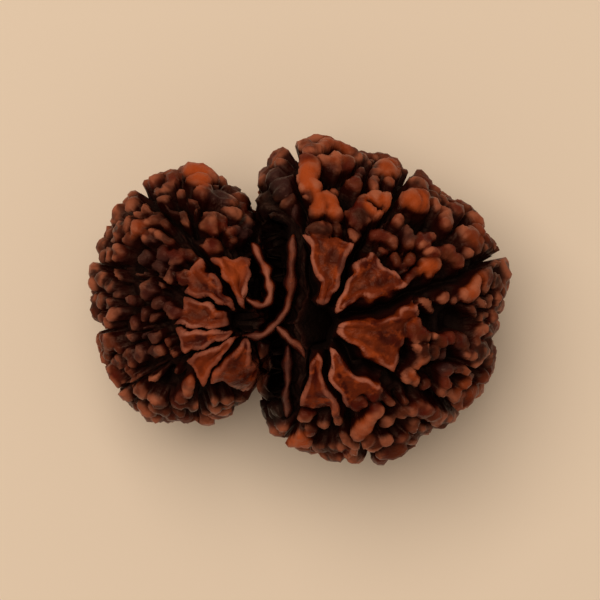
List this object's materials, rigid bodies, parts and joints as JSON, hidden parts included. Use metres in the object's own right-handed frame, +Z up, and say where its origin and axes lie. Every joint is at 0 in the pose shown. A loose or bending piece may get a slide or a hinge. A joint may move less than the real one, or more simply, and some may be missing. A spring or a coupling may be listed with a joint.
{
  "type": "garbh gauri rudraksha",
  "caption": "Large and small knobbly seed stone grown together side by side, with clefts and smooth plates that radiate from a blind pit at each pole; rests on its low plates.",
  "frame": {"origin": "middle of the bounding box in plan, on the surface that the piece rests on", "axes": "+X along the length, from the small bead to the large one; +Z up, along the axes of both beads"},
  "size_m": [0.0302, 0.0236, 0.0186],
  "materials": {
    "seed_stone": "oiled dark red-brown seed stone, paler on the smooth plates, near black in the clefts"
  },
  "bodies": {
    "root": {"rudraksha": "seed_stone"}
  },
  "joints": []
}
